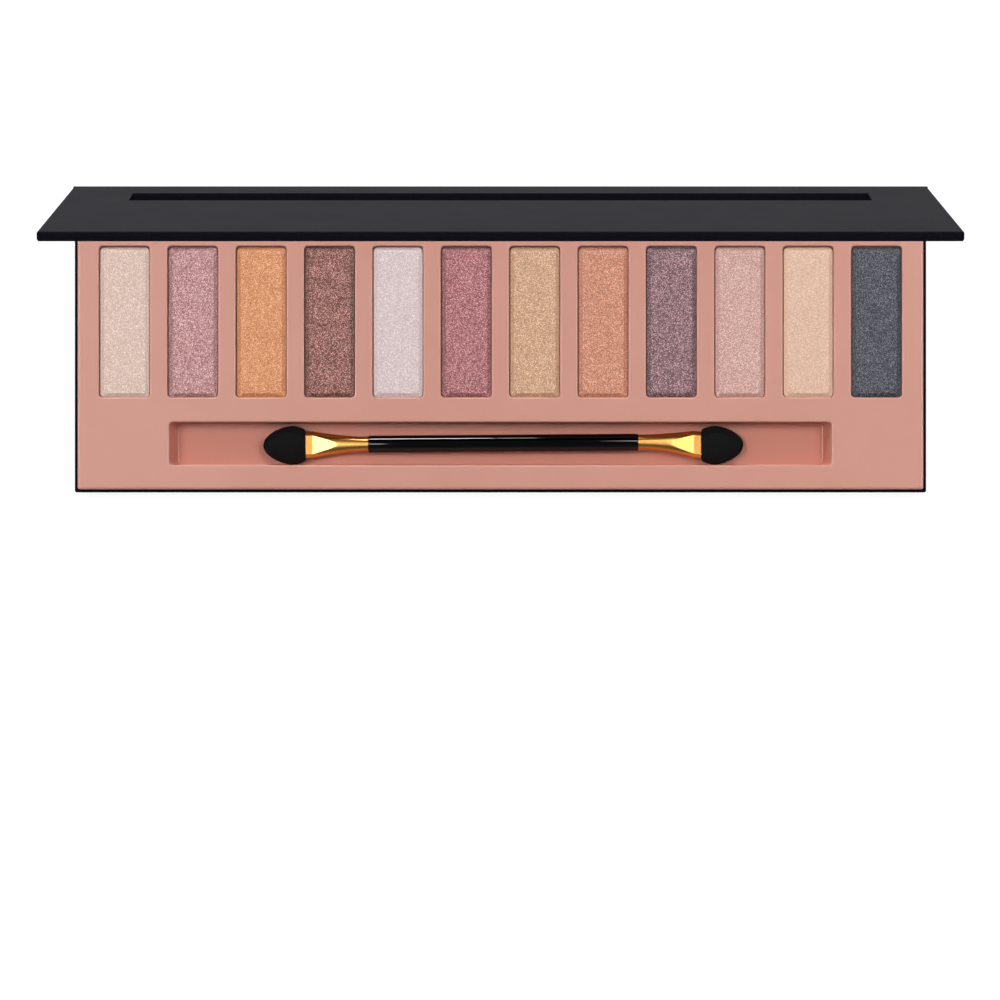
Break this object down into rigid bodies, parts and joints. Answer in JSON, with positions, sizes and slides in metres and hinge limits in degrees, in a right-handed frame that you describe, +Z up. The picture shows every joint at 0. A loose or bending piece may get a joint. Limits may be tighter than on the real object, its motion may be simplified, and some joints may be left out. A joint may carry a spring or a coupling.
{
  "type": "eyeshadow palette",
  "caption": "Slim wrapped-board eyeshadow palette with a windowed lid on a folding spine, a moulded tray of pressed shimmer powders and a double-ended sponge applicator.",
  "frame": {"origin": "centre of the underside of the case's base panel, lid open as stored", "axes": "+X along the case to the right, +Y from the front edge to the hinge, +Z up"},
  "size_m": [0.18, 0.0645, 0.0645],
  "materials": {
    "case_board": "greyboard core, cut edges, hidden under the wrap",
    "case_wrap": "black art paper with a soft matte laminate",
    "tray_plastic": "dusty pink moulded polystyrene, satin",
    "magnet": "nickel-plated disc",
    "pan_tinplate": "plain tinplate",
    "window_film": "clear PET film",
    "handle_plastic": "black lacquered plastic, high gloss",
    "ferrule_metal": "gold anodised, polished",
    "stem_plastic": "plain moulded tongue",
    "foam": "black fine-cell latex foam, matt",
    "powder_01": "pressed shimmer powder, champagne",
    "powder_02": "pressed shimmer powder, mauve pink",
    "powder_03": "pressed shimmer powder, orange copper",
    "powder_04": "pressed shimmer powder, warm brown",
    "powder_05": "pressed shimmer powder, silvery white",
    "powder_06": "pressed shimmer powder, rose",
    "powder_07": "pressed shimmer powder, gold",
    "powder_08": "pressed shimmer powder, coral copper",
    "powder_09": "pressed shimmer powder, plum taupe",
    "powder_10": "pressed shimmer powder, pale pink",
    "powder_11": "pressed shimmer powder, pale gold",
    "powder_12": "pressed shimmer powder, slate blue"
  },
  "bodies": {
    "base": {"base_board": "case_board", "base_wrap": "case_wrap", "wall_front": "case_board", "wall_back": "case_board", "wall_left": "case_board", "wall_right": "case_board", "frame_wrap": "case_wrap", "tray": "tray_plastic", "tray_magnet_left": "magnet", "tray_magnet_right": "magnet", "pan_01": "pan_tinplate", "pan_02": "pan_tinplate", "pan_03": "pan_tinplate", "pan_04": "pan_tinplate", "pan_05": "pan_tinplate", "pan_06": "pan_tinplate", "pan_07": "pan_tinplate", "pan_08": "pan_tinplate", "pan_09": "pan_tinplate", "pan_10": "pan_tinplate", "pan_11": "pan_tinplate", "pan_12": "pan_tinplate", "powder_01": "powder_01", "powder_02": "powder_02", "powder_03": "powder_03", "powder_04": "powder_04", "powder_05": "powder_05", "powder_06": "powder_06", "powder_07": "powder_07", "powder_08": "powder_08", "powder_09": "powder_09", "powder_10": "powder_10", "powder_11": "powder_11", "powder_12": "powder_12"},
    "spine": {"spine_board": "case_board", "spine_wrap": "case_wrap", "spine_liner": "case_wrap"},
    "lid": {"lid_board": "case_board", "lid_wrap": "case_wrap", "lid_liner": "case_wrap", "window_film": "window_film", "lid_magnet_left": "magnet", "lid_magnet_right": "magnet"},
    "applicator": {"handle": "handle_plastic", "ferrule_left": "ferrule_metal", "ferrule_right": "ferrule_metal", "stem_left": "stem_plastic", "stem_right": "stem_plastic", "sponge_left": "foam", "sponge_right": "foam"}
  },
  "joints": [
    {"name": "spine_fold", "type": "hinge", "parent": "base", "child": "spine", "pos_m": [0, 0.02933, 0.00013], "axis": [-1, 0, 0], "range_deg": [-38, 52]},
    {"name": "lid_fold", "type": "hinge", "parent": "spine", "child": "lid", "pos_m": [0, 0.03502, 0.00741], "axis": [-1, 0, 0], "range_deg": [-38, 52]},
    {"name": "applicator_lift", "type": "slide", "parent": "base", "child": "applicator", "axis": [0, 0, 1], "range_m": [0, 0.05]}
  ]
}
